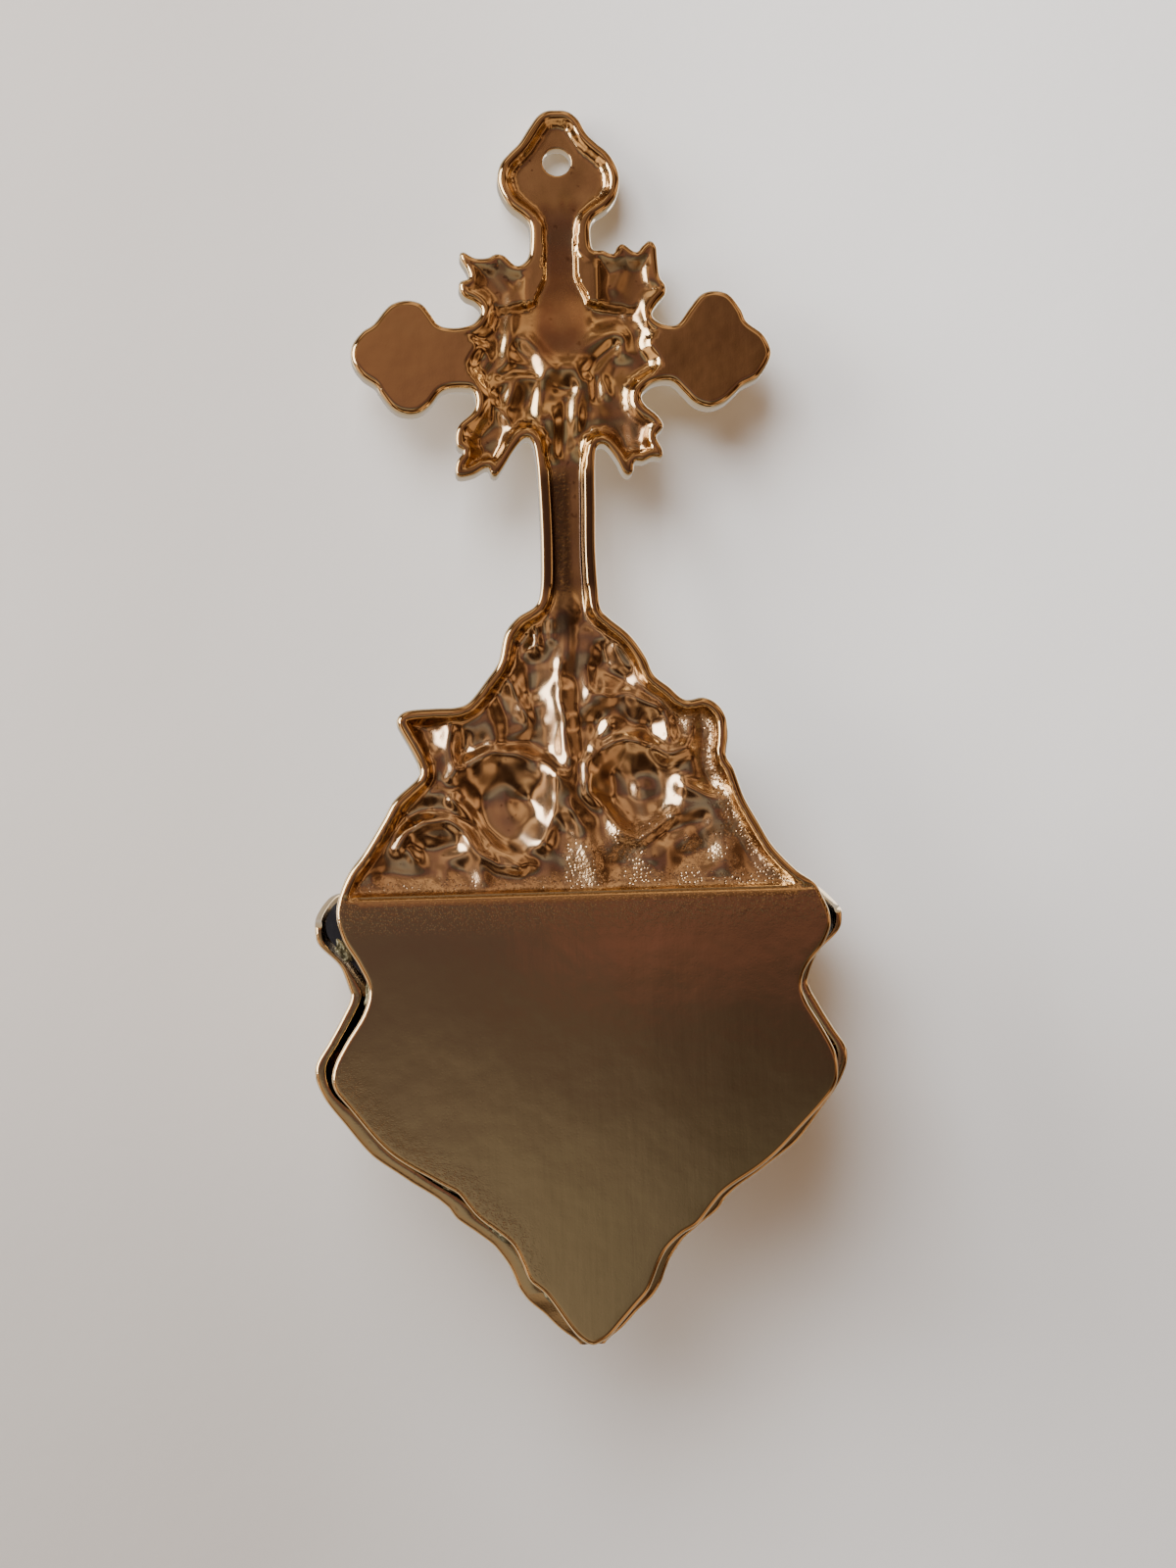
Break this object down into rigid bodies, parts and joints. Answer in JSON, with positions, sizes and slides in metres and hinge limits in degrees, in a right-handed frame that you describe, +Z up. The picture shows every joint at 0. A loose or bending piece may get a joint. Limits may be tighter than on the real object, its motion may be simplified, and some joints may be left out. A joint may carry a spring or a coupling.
{
  "type": "holy water stoup",
  "caption": "Wall-hung cast brass holy water stoup: budded crucifix above a hill of clouds, half-vase bowl with a lift-out liner.",
  "frame": {"origin": "on the flat back of the wall plate, on the centreline at the ledge where the plate meets the hollow hill", "axes": "+Z up along the upright of the cross, +Y into the wall, -Y out into the room"},
  "size_m": [0.0982, 0.0414, 0.2298],
  "materials": {
    "cast_brass": "cast, aged",
    "polished_brass": "polished",
    "liner_plastic": "gloss black",
    "solder": "dull, rough"
  },
  "bodies": {
    "stoup": {"back_plate": "cast_brass", "font_bowl": "polished_brass", "solder_tacks": "solder"},
    "liner": {"water_liner": "liner_plastic"}
  },
  "joints": [
    {"name": "liner_lift", "type": "slide", "parent": "stoup", "child": "liner", "axis": [0, -0.2588, 0.9659], "range_m": [0, 0.06]}
  ]
}
